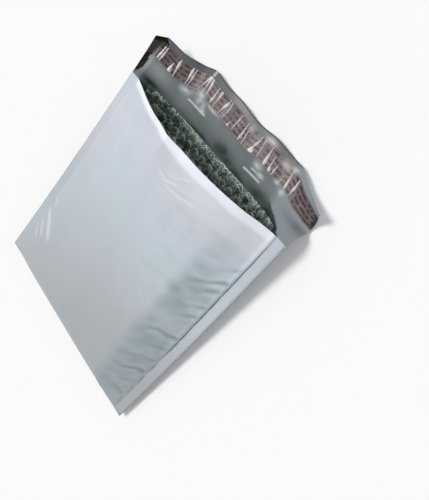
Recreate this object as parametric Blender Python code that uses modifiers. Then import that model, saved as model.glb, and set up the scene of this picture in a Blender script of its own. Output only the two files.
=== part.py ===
"""Padded mailing bag in plastic film, open and empty, lying on its back.

One folded sheet of film makes the back, the front and the flap, and its side seals are pressed flat.
A folded sheet of bubble film lines it, and a release film covers the glue band on the flap.
The frame's origin is on the floor under the middle of the back. +X goes across the bag, +Y from the
bottom fold to the mouth, and +Z up.
"""
import math

import bmesh
import bpy
from mathutils import Vector

# Film sheet, in metres
WIDTH = 0.184
DEPTH = 0.190
FLAP = 0.040
SEAL = 0.008
FILM = 0.0005

# How the bag lies: heights over the floor, and how far the mouth is drawn together
SEAM_AT_FOLD = 0.0045
SEAM_AT_MOUTH = 0.016
SEAM_BEND = 1.5
PANEL_AT_FOLD = 0.011
PANEL_SWELL = 0.010
PANEL_SQUARENESS = 5
LIP_HEIGHT = 0.0385
LIP_DRAW = 0.006
LIP_DRAW_BEND = 1.3
MOUTH_PINCH = 0.004
FOLD_ROUND = 0.014

# Share of the way from the fold to the mouth at which the front starts to rise, to take the lip's
# outline and to draw back
RISE_STARTS = 0.4
LIP_STARTS = 0.3
DRAW_STARTS = 0.6

# Share of the back's half width that lies flat, at the fold and at the mouth
REST_AT_FOLD = 0.85
REST_AT_MOUTH = 0.55

# The lip's outline: place across from seam (-1) to seam (1), and share of its rise over the seams
LIP_OUTLINE = ((-1, 0), (-0.81, 0.22), (-0.5, 0.62), (-0.2, 0.86), (0.05, 0.87), (0.25, 0.84),
               (0.47, 0.73), (0.7, 0.5), (0.86, 0.22), (1, 0))

# Crease in the front that ends in the lip's highest point
CREASE_PLACE = -0.17
CREASE_HALF = 0.2
CREASE_RISE = 0.0028
CREASE_STARTS = 0.75
CREASE_BEND = 1.5

# Gathers in the front along the right seal: place at the seal and at the gathers' inner line, from
# the fold (-1) to the mouth (1), share of the full depth, and share of the way over which each runs
GATHER_SHARES = ((-0.821, -0.895, 0.73, 0.9), (-0.674, -0.816, 0.45, 0.6), (-0.537, -0.737, 1, 1),
                 (-0.379, -0.611, 0.68, 0.9), (-0.232, -0.453, 0.55, 0.6), (-0.095, -0.305, 0.95, 1),
                 (0.147, -0.105, 0.55, 0.7), (0.274, 0, 0.68, 0.6), (0.442, 0.126, 0.55, 0.6),
                 (0.516, 0.211, 0.86, 1), (0.663, 0.347, 0.41, 0.5))
GATHER_DEPTH = 0.0022
GATHER_IN = 0.6
GATHER_HALF = 0.003
GATHER_RIDGE = 0.3
GATHER_AT_SEAL = 0.1

# Where the lining keeps below the front's gathers, from the fold to the mouth
GATHER_LOW = 0.06
GATHER_HIGH = 0.7
GATHER_TOP = 0.9

# The flap's two side edges: share of the flap's length, height, and how far the edge falls short
FLAP_LEFT = ((0, SEAM_AT_MOUTH, 0), (0.3, 0.0158, 0.0002), (0.7, 0.0156, 0.0020), (1, 0.0156, 0.0044))
FLAP_RIGHT = ((0, SEAM_AT_MOUTH, 0), (0.22, 0.0105, 0.001), (0.45, 0.0022, 0.005),
              (0.7, 0.0036, 0.007), (0.875, 0.0072, 0.0084), (1, 0.0096, 0.0108))
TIP_FROM = 0.6
TIP_RISE = 0.004
TIP_BACK = 0.002
FLAP_RIPPLE = 0.003
FLAP_RIPPLES = 5

# The flap's left edge is turned up beyond a crease that slants from the film's edge to the seal's line
TURNED_EDGE = math.radians(32)
TURNED_BACK = 0.6

# Bubble film
LINER = 0.0004
LINER_GAP = 0.0006
LINER_SIDE = 0.91
LINER_AT_MOUTH = 0.0015
LINER_PAST_MOUTH = 0.002
LINER_AT_FOLD = 0.005
LINER_NOSE = 0.25
BUBBLE = 0.007
BUBBLE_TOP = 0.0042
BUBBLE_RISE = 0.003
BUBBLE_PITCH = 0.0082
BACK_ROW_COUNT = 3
FRONT_ROW_COUNT = 2
BUBBLE_SIDE_COUNT = 6

# Glue band and release film on the flap
BAND_GAP = 0.0003
GLUE_WIDTH = 0.010
GLUE_THICK = 0.0003
RELEASE_WIDTH = 0.0138
RELEASE_THICK = 0.0003
RELEASE_FROM_EDGE = 0.005

# Wrinkles across the release film: their places from seal root to seal root, and their form
WRINKLE_SHARES = (-0.975, -0.935, -0.87, -0.825, -0.706, -0.66, -0.5, -0.44, -0.38, -0.32, -0.237,
                  -0.18, -0.09, -0.02, 0.075, 0.24, 0.306, 0.4, 0.5, 0.555, 0.69, 0.775, 0.89)
WRINKLE_HALF = 0.016
WRINKLE_RISE = 0.0013

# Grids of the sheets: columns from root to root, rows near the fold as distances from it, rows near
# the mouth as places like the gathers', and how close two gathers are that share a ridge's row
SLOPE_STEP = 0.004
WELD = 0.00001
COLUMNS = 16
NEAR_SEAL = 0.96
FOLD_STATIONS = (0, 0.0012, 0.0040)
MOUTH_SHARES = ((0.505, 0.758), (0.653, 0.821), (0.789, 0.884), (0.905, 0.947), (1, 1))
RIDGES_APART = 0.009
INNER_RIDGES_APART = 0.0066
ROWS_PER_LINER_ROW = 4
COLUMN_APART = 0.004


def ease(share):
    """Rises from 0 to 1 with no corner at either end."""
    share = min(max(share, 0), 1)
    return share * share * (3 - 2 * share)


def between(points, place):
    """Reads a smooth curve through points, each a tuple that starts with its place."""
    last = len(points) - 1
    index = max([i for i in range(last) if points[i][0] <= place], default=0)
    before, start, end, after = (points[min(max(index + i, 0), last)] for i in (-1, 0, 1, 2))
    span = end[0] - start[0]
    share = (place - start[0]) / span
    square, cube = share ** 2, share ** 3
    values = []
    for column in range(1, len(start)):
        slope_in = (end[column] - before[column]) / (end[0] - before[0]) * span
        slope_out = (after[column] - start[column]) / (after[0] - start[0]) * span
        from_start = (2 * cube - 3 * square + 1) * start[column] + (cube - 2 * square + share) * slope_in
        from_end = (3 * square - 2 * cube) * end[column] + (cube - square) * slope_out
        values.append(from_start + from_end)
    return values


def seam_height(along):
    """Height of the side seals, where along is 0 at the bottom fold and 1 at the mouth."""
    return SEAM_AT_FOLD + (SEAM_AT_MOUTH - SEAM_AT_FOLD) * along ** SEAM_BEND


def across(place, along):
    """X of a place: -1 to 1 between the seal roots, and on to -2 and 2 at the film's edges."""
    root = WIDTH / 2 - MOUTH_PINCH * along ** SEAM_BEND - SEAL
    if abs(place) <= 1:
        return root * place
    return math.copysign(root + (abs(place) - 1) * SEAL, place)


def swell(along):
    """Share of its full thickness that the bag has, near the bottom fold."""
    inside = 1 - min(along * DEPTH / FOLD_ROUND, 1)
    return math.sqrt(1 - inside ** 2)


def lifted(place, along):
    """Share by which the back follows the raised seal: 0 where it lies flat and 1 at the root."""
    rest = REST_AT_FOLD + (REST_AT_MOUTH - REST_AT_FOLD) * along
    return min(max((abs(place) - rest) / (1 - rest), 0), 1) ** 2


def back(place, along):
    """Mid surface of the back."""
    seam = seam_height(along)
    height = seam + (FILM / 2 - seam) * swell(along) * (1 - lifted(place, along))
    return Vector((across(place, along), along * DEPTH - DEPTH / 2, height))


def toward_seal(place):
    """0 at the gathers' inner line and left of it, and 1 at the right seal and beyond."""
    return min(max((place - GATHER_IN) / (1 - GATHER_IN), 0), 1)


def gathers(place, y):
    """Rise or fall of the front at a place: each gather is a valley between two low ridges."""
    inward = 1 - toward_seal(place)
    rise = 0
    for at_seal, at_inner, depth, reach in GATHER_SHARES:
        off = abs(y - (at_seal + (at_inner - at_seal) * inward) * DEPTH / 2) / GATHER_HALF
        fade = ease(inward / GATHER_AT_SEAL) * ease(1 - inward / reach)
        rise += GATHER_DEPTH * depth * fade * (GATHER_RIDGE * max(1 - abs(off - 1), 0) - max(1 - off, 0))
    return rise


def front(place, along):
    """Mid surface of the front, with its gathers and the lip's crease."""
    bent = plain_front(place, along)
    bent.z += gathers(place, along * DEPTH - DEPTH / 2)
    beside = max(1 - abs(place - CREASE_PLACE) / CREASE_HALF, 0)
    bent.z += CREASE_RISE * beside ** CREASE_BEND * ease((along - CREASE_STARTS) / (1 - CREASE_STARTS))
    return bent


def front_for_liner(place, along):
    """The front as the bubble film meets it, under the deepest of its gathers."""
    bent = plain_front(place, along)
    room = ease((place - GATHER_IN + 0.05) / 0.2) * ease(along / GATHER_LOW)
    bent.z -= GATHER_DEPTH * room * ease((GATHER_TOP - along) / (GATHER_TOP - GATHER_HIGH))
    return bent


def plain_front(place, along):
    """The front with no gathers and no crease."""
    seam = seam_height(along)
    if abs(place) >= 1:
        return Vector((across(place, along), along * DEPTH - DEPTH / 2, seam))
    top = PANEL_AT_FOLD + PANEL_SWELL * along
    top += (LIP_HEIGHT - PANEL_AT_FOLD - PANEL_SWELL) * ease((along - RISE_STARTS) / (1 - RISE_STARTS))
    lip = between(LIP_OUTLINE, place)[0]
    to_lip = ease((along - LIP_STARTS) / (1 - LIP_STARTS))
    form = (1 - abs(place) ** PANEL_SQUARENESS) * (1 - to_lip) + lip * to_lip
    height = seam + (top - seam) * swell(along) * form
    draw = LIP_DRAW * max(lip, 0) ** LIP_DRAW_BEND * ease((along - DRAW_STARTS) / (1 - DRAW_STARTS))
    return Vector((across(place, along), along * DEPTH - DEPTH / 2 - draw, height))


def flap(place, out):
    """Mid surface of the flap, where out is 0 at the mouth and 1 at its free edge."""
    height, short = between(FLAP_LEFT if place < 0 else FLAP_RIGHT, out)
    follows = lifted(min(abs(place), 1), 1)
    x = across(place, 1)
    y = DEPTH / 2 + FLAP * out - follows * short
    z = FILM / 2 + (height - FILM / 2) * follows
    ripple = 0.5 - 0.5 * math.cos(FLAP_RIPPLES * math.pi * (place + 1))
    z += FLAP_RIPPLE * out ** 2 * (1 - follows) * ripple
    if place < -1:
        beyond = (abs(place) - 1) * SEAL
        turned = max(beyond - SEAL * (1 - out), 0)
        x = across(-1, 1) - (beyond - turned) - turned * math.cos(TURNED_EDGE)
        y -= turned * TURNED_BACK
        z += turned * math.sin(TURNED_EDGE)
    if place > 1:
        tip = (place - 1) * ease((out - TIP_FROM) / (1 - TIP_FROM))
        x = across(place, 1)
        y -= TIP_BACK * tip
        z += TIP_RISE * tip
    return Vector((x, y, z))


def raised(surface, place, along, height):
    """A point at a height over a surface, at right angles to it."""
    over_x = surface(place + SLOPE_STEP, along) - surface(place - SLOPE_STEP, along)
    ahead = min(along + SLOPE_STEP, max(along, 1))
    over_y = surface(place, ahead) - surface(place, max(along - SLOPE_STEP, 0))
    return surface(place, along) + over_x.cross(over_y).normalized() * height


def flap_on(place, out, height):
    """A point over the flap's inner face, which is flat from one column of the film to the next."""
    columns = film_columns()
    left = max(column for column in columns[:-1] if column <= place)
    right = columns[columns.index(left) + 1]
    share = (place - left) / (right - left)
    return raised(flap, left, out, height).lerp(raised(flap, right, out, height), share)


def inside(surface, place, along, height):
    """A point at a height over the inner face of the back, or under that of the front."""
    return raised(surface, place, along, height if surface is back else -height)


def material(name, colour, roughness, alpha=1):
    made = bpy.data.materials.new(name)
    made.use_nodes = True
    shader = made.node_tree.nodes["Principled BSDF"]
    shader.inputs["Base Color"].default_value = (*colour, 1)
    shader.inputs["Roughness"].default_value = roughness
    shader.inputs["Alpha"].default_value = alpha
    return made


def add_object(collection, name, mesh, look):
    made = bpy.data.objects.new(name, mesh)
    mesh.materials.append(look)
    mesh.shade_smooth()
    collection.objects.link(made)
    return made


def bent_sheet(name, columns, rows, place):
    """A grid whose point (column, row) goes where place says, welded where two points meet.

    All sheets split their quads the same way, so that one lies on another's facets.
    """
    sheet = bmesh.new()
    across_count, along_count = len(columns) - 1, len(rows) - 1
    bmesh.ops.create_grid(sheet, x_segments=across_count, y_segments=along_count, size=0.5)
    for vertex in sheet.verts:
        column = round((vertex.co.x + 0.5) * across_count)
        row = round((vertex.co.y + 0.5) * along_count)
        vertex.co = place(columns[column], rows[row])
    bmesh.ops.remove_doubles(sheet, verts=sheet.verts, dist=WELD)
    bmesh.ops.triangulate(sheet, faces=sheet.faces, quad_method="FIXED")
    mesh = bpy.data.meshes.new(name)
    sheet.to_mesh(mesh)
    sheet.free()
    return mesh


def thicken(sheet, thickness):
    """Gives a sheet its thickness, half to each side, also where three faces meet at a seal."""
    wall = sheet.modifiers.new("Film", "SOLIDIFY")
    wall.solidify_mode = "NON_MANIFOLD"
    wall.nonmanifold_thickness_mode = "FIXED"
    wall.nonmanifold_merge_threshold = 0.000001
    wall.thickness = thickness
    wall.offset = 0


def column_places():
    """The film's columns from seal root to seal root, with one more close to the right seal."""
    return [2 * column / COLUMNS - 1 for column in range(COLUMNS)] + [NEAR_SEAL, 1]


def film_columns():
    """The film's columns from edge to edge."""
    return [-2] + column_places() + [2]


def stations():
    """Rows of the bag from the fold to the mouth, as y inside the gathers' line and y at the right seal.

    Each gather has a row along its valley and one along each ridge, but two close ones share a ridge.
    """
    half = DEPTH / 2
    rows = [(distance - half, distance - half) for distance in FOLD_STATIONS]
    before = (-DEPTH, -DEPTH)
    for seal_place, inner_place, depth, reach in GATHER_SHARES:
        inner, at_seal = inner_place * half, seal_place * half
        if at_seal - before[1] < RIDGES_APART or inner - before[0] < INNER_RIDGES_APART:
            rows[-1] = ((inner + before[0]) / 2, (at_seal + before[1]) / 2)
        else:
            rows.append((inner - GATHER_HALF, at_seal - GATHER_HALF))
        rows += [(inner, at_seal), (inner + GATHER_HALF, at_seal + GATHER_HALF)]
        before = (inner, at_seal)
    return rows + [(inner_place * half, seal_place * half) for inner_place, seal_place in MOUTH_SHARES]


def along_at(place, row):
    """Share of the bag's depth at which a row passes a place."""
    inner, at_seal = row
    return (inner + (at_seal - inner) * toward_seal(place)) / DEPTH + 0.5


def release_rows():
    """Rows of the release film on the flap, from its inner to its outer edge."""
    middle = 1 - (RELEASE_FROM_EDGE + RELEASE_WIDTH / 2) / FLAP
    edges = (-RELEASE_WIDTH, -GLUE_WIDTH, 0, GLUE_WIDTH, RELEASE_WIDTH)
    return [middle + edge / 2 / FLAP for edge in edges]


def flap_rows():
    """The flap's rows from its free edge to the mouth, with one along each edge of the bands."""
    bands = release_rows()
    return [1] + bands[::-1] + [bands[0] * 2 / 3, bands[0] / 3]


def outer_film(collection, look):
    """The folded sheet, from the flap's free edge down the back and up the front to the lip."""
    bag_rows = stations()
    rows = [(flap, out) for out in flap_rows()] + [(back, row) for row in reversed(bag_rows)]
    rows += [(front, row) for row in bag_rows[1:]]

    def film_point(place, row):
        surface, share = row
        return surface(place, share if surface is flap else along_at(place, share))

    mesh = bent_sheet("outer_film", film_columns(), rows, film_point)
    made = add_object(collection, "outer_film", mesh, look)
    thicken(made, FILM)
    return made


def liner_point(place, row):
    """Mid surface of the bubble film, which follows the film inside the bag."""
    side, along = row
    height = FILM / 2 + LINER_GAP + LINER / 2
    if side == "fold":
        low = inside(back, place, along, height)
        high = inside(front_for_liner, place, along, height)
        middle = (low + high) / 2
        return middle - Vector((0, (high.z - low.z) * LINER_NOSE, 0))
    return inside(back if side == "back" else front_for_liner, place, along, height)


def bubbles(collection):
    """Domes in staggered rows near the mouth, on both layers of the bubble film."""
    domes = bmesh.new()
    row_step = BUBBLE_PITCH * math.sqrt(3) / 2
    layers = ((back, BACK_ROW_COUNT, 1 + LINER_PAST_MOUTH / DEPTH),
              (front_for_liner, FRONT_ROW_COUNT, 1 - LINER_AT_MOUTH / DEPTH))
    for surface, rows, last in layers:
        for row in range(rows):
            along = last - (BUBBLE_PITCH / 2 + row * row_step) / DEPTH
            half = across(LINER_SIDE, along) - BUBBLE_PITCH / 2
            count = int(2 * half / BUBBLE_PITCH) - row % 2
            for column in range(count + 1):
                x = (column - count / 2) * BUBBLE_PITCH
                add_dome(domes, surface, x / across(1, along), along)
    mesh = bpy.data.meshes.new("bubbles")
    domes.to_mesh(mesh)
    domes.free()
    made = bpy.data.objects.new("bubbles", mesh)
    made.hide_render = True
    made.display_type = "WIRE"
    collection.objects.link(made)
    return made


def add_dome(domes, surface, place, along):
    """One air bubble: a low dome that stands on the liner with its foot in it."""
    foot = inside(surface, place, along, FILM / 2 + LINER_GAP + LINER / 2)
    top = inside(surface, place, along, FILM / 2 + LINER_GAP + LINER + BUBBLE_RISE)
    axis = (top - foot).normalized()
    turn = axis.to_track_quat("Z", "Y").to_matrix().to_4x4()
    turn.translation = (foot + top) / 2
    bmesh.ops.create_cone(domes, cap_ends=True, cap_tris=False, segments=BUBBLE_SIDE_COUNT,
                          radius1=BUBBLE / 2, radius2=BUBBLE_TOP / 2, matrix=turn,
                          depth=(top - foot).length)


def bubble_liner(collection, cutters, look):
    """The folded bubble film: its back layer, its bend at the bottom and its front layer."""
    first, last = LINER_AT_FOLD / DEPTH, 1 - LINER_AT_MOUTH / DEPTH
    apart = LINER_AT_MOUTH / DEPTH
    sparse = [along_at(0, row) for row in stations()[::ROWS_PER_LINER_ROW]]
    shared = [share for share in sparse if first + apart < share < last - apart]
    layer = [first] + shared
    rows = [("back", 1 + LINER_PAST_MOUTH / DEPTH), ("back", 1)]
    rows += [("back", share) for share in reversed(layer)] + [("fold", first)]
    rows += [("front", share) for share in layer + [last]]
    places = [-LINER_SIDE] + [place for place in column_places() if abs(place) < LINER_SIDE - 1 / COLUMNS] + [LINER_SIDE]
    mesh = bent_sheet("bubble_liner", places, rows, liner_point)
    made = add_object(collection, "bubble_liner", mesh, look)
    thicken(made, LINER)
    joined = made.modifiers.new("Bubbles", "BOOLEAN")
    joined.operation = "UNION"
    joined.object = bubbles(cutters)
    return made


def adhesive_strip(collection, look):
    """The glue band on the flap's inner face, under the release film."""
    height = FILM / 2 + BAND_GAP + GLUE_THICK / 2
    mesh = bent_sheet("adhesive_strip", column_places(), release_rows()[1:-1],
                      lambda place, out: flap_on(place, out, height))
    made = add_object(collection, "adhesive_strip", mesh, look)
    thicken(made, GLUE_THICK)
    return made


def release_liner(collection, look):
    """The release film over the glue band, wrinkled across its width."""
    sides = [crest + side * WRINKLE_HALF for crest in WRINKLE_SHARES for side in (-1, 0, 1)]
    places = sorted(film_columns() + [place for place in sides if abs(place) < 1])
    places = [place for place, after in zip(places, places[1:] + [3]) if after - place > COLUMN_APART]
    base = FILM / 2 + 2 * BAND_GAP + GLUE_THICK + RELEASE_THICK / 2

    def wrinkled(place, out):
        ridge = max(max(0, 1 - abs(place - crest) / WRINKLE_HALF) for crest in WRINKLE_SHARES)
        return flap_on(place, out, base + WRINKLE_RISE * ridge)

    mesh = bent_sheet("release_liner", places, release_rows(), wrinkled)
    made = add_object(collection, "release_liner", mesh, look)
    thicken(made, RELEASE_THICK)
    return made


def build():
    for old in list(bpy.data.objects):
        bpy.data.objects.remove(old)
    parts = bpy.data.collections.new("Bubble mailer")
    cutters = bpy.data.collections.new("Cutters")
    for collection in (parts, cutters):
        bpy.context.scene.collection.children.link(collection)
    outer_film(parts, material("White film", (0.62, 0.66, 0.72), 0.4))
    bubble_liner(parts, cutters, material("Bubble film", (0.16, 0.21, 0.20), 0.2, 0.6))
    adhesive_strip(parts, material("Glue", (0.45, 0.42, 0.38), 0.5))
    release_liner(parts, material("Release film", (0.17, 0.13, 0.12), 0.2))


build()
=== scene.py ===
"""Looks of the padded mailing bag: creased film, bubble lining, glue band and wrinkled release film.

The film's surfaces follow the same formulas and sizes as the frame's solids, and this script adds
finer gathers, creases and wrinkles, the bubbles over the whole lining and the printed dashes.
"""

import math
import random

import bmesh
import bpy
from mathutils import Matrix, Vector, noise

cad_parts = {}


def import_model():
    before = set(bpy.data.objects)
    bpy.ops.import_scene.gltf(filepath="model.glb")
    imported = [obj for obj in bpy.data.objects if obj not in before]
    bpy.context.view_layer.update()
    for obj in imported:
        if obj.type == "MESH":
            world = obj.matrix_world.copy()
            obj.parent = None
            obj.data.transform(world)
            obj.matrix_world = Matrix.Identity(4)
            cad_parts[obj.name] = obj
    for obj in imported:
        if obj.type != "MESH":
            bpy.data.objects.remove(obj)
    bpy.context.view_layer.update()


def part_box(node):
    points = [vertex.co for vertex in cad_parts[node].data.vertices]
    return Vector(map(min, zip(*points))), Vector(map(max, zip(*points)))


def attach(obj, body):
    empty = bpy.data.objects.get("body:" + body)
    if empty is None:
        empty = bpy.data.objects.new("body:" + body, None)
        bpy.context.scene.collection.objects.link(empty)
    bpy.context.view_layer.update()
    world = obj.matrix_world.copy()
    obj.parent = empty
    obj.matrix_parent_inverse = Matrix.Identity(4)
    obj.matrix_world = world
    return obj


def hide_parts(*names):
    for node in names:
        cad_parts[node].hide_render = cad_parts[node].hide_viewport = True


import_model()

MM = 0.001
film_low, film_high = (Vector(corner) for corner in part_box("outer_film"))

# Film sheet, in metres: the width comes from the frame, and the rest repeats the solids' sizes
WIDTH = film_high.x - film_low.x
DEPTH = 190 * MM
FLAP = 40 * MM
SEAL = 8 * MM
FILM = 0.5 * MM
SKIN = 0.16 * MM

# How the bag lies
SEAM_AT_FOLD = 4.5 * MM
SEAM_AT_MOUTH = 16 * MM
SEAM_BEND = 1.5
PANEL_AT_FOLD = 11 * MM
PANEL_SWELL = 10 * MM
PANEL_SQUARENESS = 5
LIP_HEIGHT = 38.5 * MM
LIP_DRAW = 6 * MM
LIP_DRAW_BEND = 1.3
MOUTH_PINCH = 4 * MM
FOLD_ROUND = 14 * MM
RISE_STARTS = 0.4
LIP_STARTS = 0.3
DRAW_STARTS = 0.6
REST_AT_FOLD = 0.85
REST_AT_MOUTH = 0.55
LIP_OUTLINE = ((-1, 0), (-0.81, 0.22), (-0.5, 0.62), (-0.2, 0.86), (0.05, 0.87), (0.25, 0.84),
               (0.47, 0.73), (0.7, 0.5), (0.86, 0.22), (1, 0))
CREASE_PLACE = -0.17
CREASE_HALF = 0.2
CREASE_RISE = 2.8 * MM
CREASE_STARTS = 0.86
# The front's skin lies this far over the solid's middle, clear of the lining
FRONT_LIFT = 0.9 * SKIN
SEAL_WAVE = 0.3 * MM
# How far the front bulges over the right seal, and how high
OVERHANG = 1.3 * MM
OVERHANG_RISE = 0.9 * MM
OVERHANG_STARTS = 0.955
FLAP_LEFT = ((0, SEAM_AT_MOUTH, 0), (0.3, 15.8 * MM, 0.2 * MM), (0.7, 15.6 * MM, 2 * MM),
             (1, 15.6 * MM, 4.4 * MM))
FLAP_RIGHT = ((0, SEAM_AT_MOUTH, 0), (0.22, 10.5 * MM, 1 * MM), (0.45, 2.2 * MM, 5 * MM),
              (0.7, 3.6 * MM, 7 * MM), (0.875, 7.2 * MM, 8.4 * MM), (1, 9.6 * MM, 10.8 * MM))
TIP_FROM = 0.6
TIP_RISE = 4 * MM
TIP_BACK = 2 * MM
FLAP_RIPPLE = 3 * MM
FLAP_RIPPLES = 5
TURNED_EDGE = math.radians(32)
TURNED_BACK = 0.6

# Gathers along the right seal: y at the seal, y at the gathers' inner line, depth, and the share of
# the way to that line over which each runs
GATHERS = ((-78, -85, 1.6, 0.9), (-64, -77.5, 1.0, 0.6), (-51, -70, 2.2, 1), (-36, -58, 1.5, 0.9),
           (-22, -43, 1.2, 0.6), (-9, -29, 2.1, 1), (14, -10, 1.2, 0.7), (26, 0, 1.5, 0.6),
           (42, 12, 1.2, 0.6), (49, 20, 1.9, 1), (63, 33, 0.9, 0.5))
GATHER_IN = 0.6
GATHER_HALF = 3
GATHER_RIDGE = 0.3
GATHER_AT_SEAL = 0.1
GATHER_DEPTH = max(depth for at_seal, at_inner, depth, reach in GATHERS)
# Faint gathers along the left seal: x and y at the seal, x and y where each ends, height and half width
LEFT_GATHERS = (((-84, -36), (-72, -47), 0.35, 1.4), ((-84, -53), (-62, -66), 0.35, 1.6),
                ((-86, 6), (-80, -2), 0.35, 1.2))
# Creases in the front below the lip: their points, height and half width, in millimetres
CREASES = ((((-9, 74), (-2, 72.5), (4, 71), (9, 72), (13, 75.5), (19, 79), (24, 84)), 0.32, 0.8),
           (((-8, 71), (0, 68), (5, 67), (12, 68), (17, 70), (28, 73.5), (41, 77), (49, 83)), 0.32, 0.8),
           (((-16, 79), (-6, 79), (2, 80.5), (10, 84)), 0.25, 0.9),
           (((24, 66), (36, 69), (48, 72)), 0.25, 1.0),
           (((13, 41), (18, 56), (34, 60), (42, 59)), 0.35, 2.2),
           (((34, 57), (48, 58), (62, 62)), 0.3, 2.0),
           (((30, 42), (45, 42), (56, 48)), 0.35, 2.2),
           (((20, 50), (34, 50), (46, 52)), 0.25, 1.6))
# Painted highlights in the front along its ridges and creases and near its left edge: points, half width
# and strength
FRONT_HIGHLIGHT_STREAKS = ((((-84, -37), (-72, -45), (-56, -60)), 2.4, 0.38), (((-83, -50), (-66, -63)), 1.5, 0.3),
          (((-84, -60), (-72, -70)), 1.2, 0.25), (((-86, -22), (-74, -34)), 1.4, 0.22),
          (((-9, 74), (4, 71), (19, 79)), 0.6, 0.45), (((0, 68), (17, 70), (41, 77)), 0.7, 0.45),
          (((-79, 88), (-81, 60), (-82, 20)), 0.7, 0.35))
# Line below which the lip's left end turns up, and how steeply
LIP_TURN = ((-84, 92), (-68, 85), (-54, 81.5), (-31, 81.5), (-14, 88))
LIP_TURN_SLOPE = 0.22

# How far the flap's free edge reaches past a straight one, in millimetres, from seal root to seal root
FLAP_EDGE = ((-1, 0), (-0.82, -2.8), (-0.65, -0.65), (-0.5, 2.5), (-0.3, 0.8), (-0.1, 0.5), (0.15, -1.45),
             (0.37, 0.1), (0.6, -1), (0.7, -0.2), (0.87, -1.7), (1, 0))

# White wrinkles across the release film, raised and painted white on their crests as highlights: x and
# share of the flap's length at the inner and the outer end, half width in millimetres, and where along it
# each is widest
WRINKLES = ((-78.8, 0.47, -78.2, 0.84, 0.5, 0.5), (-77.3, 0.47, -76.6, 0.85, 0.5, 0.5),
            (-68.9, 0.49, -68.9, 0.72, 1.2, 0.25), (-64.9, 0.50, -65.5, 0.87, 0.95, 0.8),
            (-54.9, 0.53, -56.2, 0.90, 0.8, 0.7), (-52.9, 0.53, -53.6, 0.88, 0.6, 0.5),
            (-44.9, 0.55, -39.8, 0.93, 0.9, 0.8), (-39.8, 0.57, -39.4, 0.96, 1.1, 0.85),
            (-34.9, 0.57, -38.0, 0.99, 1.0, 0.5), (-29.1, 0.54, -28.3, 0.92, 0.85, 0.2),
            (-24.9, 0.55, -24.9, 0.91, 0.9, 0.8), (-18.6, 0.54, -16.3, 0.89, 1.0, 0.6),
            (-13.6, 0.54, -13.6, 0.90, 0.7, 0.5), (-7.0, 0.50, -6.0, 0.61, 1.0, 0.3),
            (-1.7, 0.56, -0.3, 0.97, 0.5, 0.5), (7.0, 0.50, 6.3, 0.88, 0.8, 0.25),
            (11.0, 0.53, 9.0, 0.79, 0.5, 0.5), (19.0, 0.50, 19.3, 0.66, 2.0, 0.35),
            (19.2, 0.55, 20.3, 0.88, 0.8, 0.5), (26.3, 0.53, 23.6, 0.88, 0.45, 0.5),
            (33.6, 0.51, 31.6, 0.88, 1.0, 0.2), (39.6, 0.50, 37.6, 0.66, 1.1, 0.4),
            (42.2, 0.50, 42.2, 0.71, 0.6, 0.5), (38.3, 0.65, 36.9, 0.78, 0.45, 0.5),
            (56.2, 0.50, 52.9, 0.86, 0.8, 0.25), (61.5, 0.51, 60.9, 0.88, 0.8, 0.5),
            (50.2, 0.49, 50.2, 0.62, 0.5, 0.5))
WRINKLE_RISE = 1.1 * MM
WRINKLE_LEAST = 0.36
# Folds in the bare film between the mouth and the release film: points, height and half width
FLAP_FOLDS = ((((-52, 112.5), (-45, 110), (-36, 108.3), (-27, 108.8)), 0.7, 1.4),
              (((24, 106), (32, 106.3), (40, 106.6)), 0.6, 1.2),
              (((29, 117), (33, 112), (37, 108)), 0.6, 2.2),
              (((52, 115), (56, 111), (58, 107)), 0.5, 1.8))
# Painted highlights as pale streaks on such folds: points and half width
HIGHLIGHT_STREAKS = ((((-45.1, 108.4), (-39, 107.9)), 0.5), (((-38, 108), (-31, 108.3), (-26.4, 108.9)), 0.6),
           (((24.3, 105.8), (32, 106), (39.6, 106.5)), 0.6), (((29, 109), (34, 109.5)), 0.4),
           (((-40.3, 131), (-39.6, 136)), 0.9))
# Painted highlights as pale patches on the film's folds: x, y, half width and half length
HIGHLIGHT_PATCHES = ((-52, 113, 5, 2.6), (-39, 116, 4.5, 3), (-35, 112, 4.5, 2.6), (-30, 109.5, 2.6, 1.3),
           (-50, 112.6, 2.6, 0.9), (-24, 115.5, 6, 1), (31, 113.5, 3.5, 2.4), (37, 110, 3, 1.6),
           (55.5, 113.5, 2.6, 2.4), (49, 116, 2.2, 1.4), (9.6, 128.5, 3, 2.4), (27, 130.8, 5, 2.2),
           (45.6, 128, 4.5, 2.4), (53, 130, 3, 1.6))
# The flap's left corner, whose turned side is painted dark as shade: share of the flap and place of its
# border
TURNED_BORDER = ((-0.1, -2.1), (0.02, -1.98), (0.16, -1.5), (0.34, -1.42), (0.475, -1.5), (0.6, -1.16),
                 (0.77, -0.96), (1, -1.0), (1.1, -1.0))
# How light the hem beyond the release film is, along it
HEM_TONES = ((-1, 0.3), (-0.9, 0.2), (-0.6, 0.05), (-0.3, 0.6), (0, 0.9), (0.3, 0.5), (0.6, 0.45),
             (0.9, 1), (1, 1))
# Shaded hollows in the film at the mouth: x, y, half width and half length
HOLLOWS = ((3, 102, 9.5, 4.4), (10, 100, 7, 3), (46, 99.8, 12, 3.6), (58, 98, 6, 2.6), (-73, 98.6, 8, 3),
           (-20, 97.5, 14, 1.6), (24, 98, 12, 2.2))
# Line along which the film's smooth right side stands up, from the release film to the seam
SMOOTH_LINE = ((51.6, 104.5), (59.5, 101.0), (66, 99.3), (74.2, 96.5))
# Numbers stored at each point of the outer film: six that the inside's materials read, and then four
# for the outside
FIELDS = ("dark", "pale", "tone", "hem", "edge", "smooth", "low", "shade", "lip", "groove")
# Slots of the outer film: white with grey inside, and from TURNED_SLOT on white with an inside painted
# dark as shade. A face's inner side takes the slot INNER_SLOT after its own.
INNER_SLOT = 1
TURNED_SLOT = 2
# Step used to find a surface's slope
SLOPE_STEP = 0.004
# Steps of the outer film's mesh: across it, across it at the right seal, and along each panel
ACROSS_STEP = 0.0145
OVERHANG_STEP = 0.0065
FLAP_STEP = 0.0185
BACK_STEP = 0.03
FRONT_STEP = 0.0057
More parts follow.
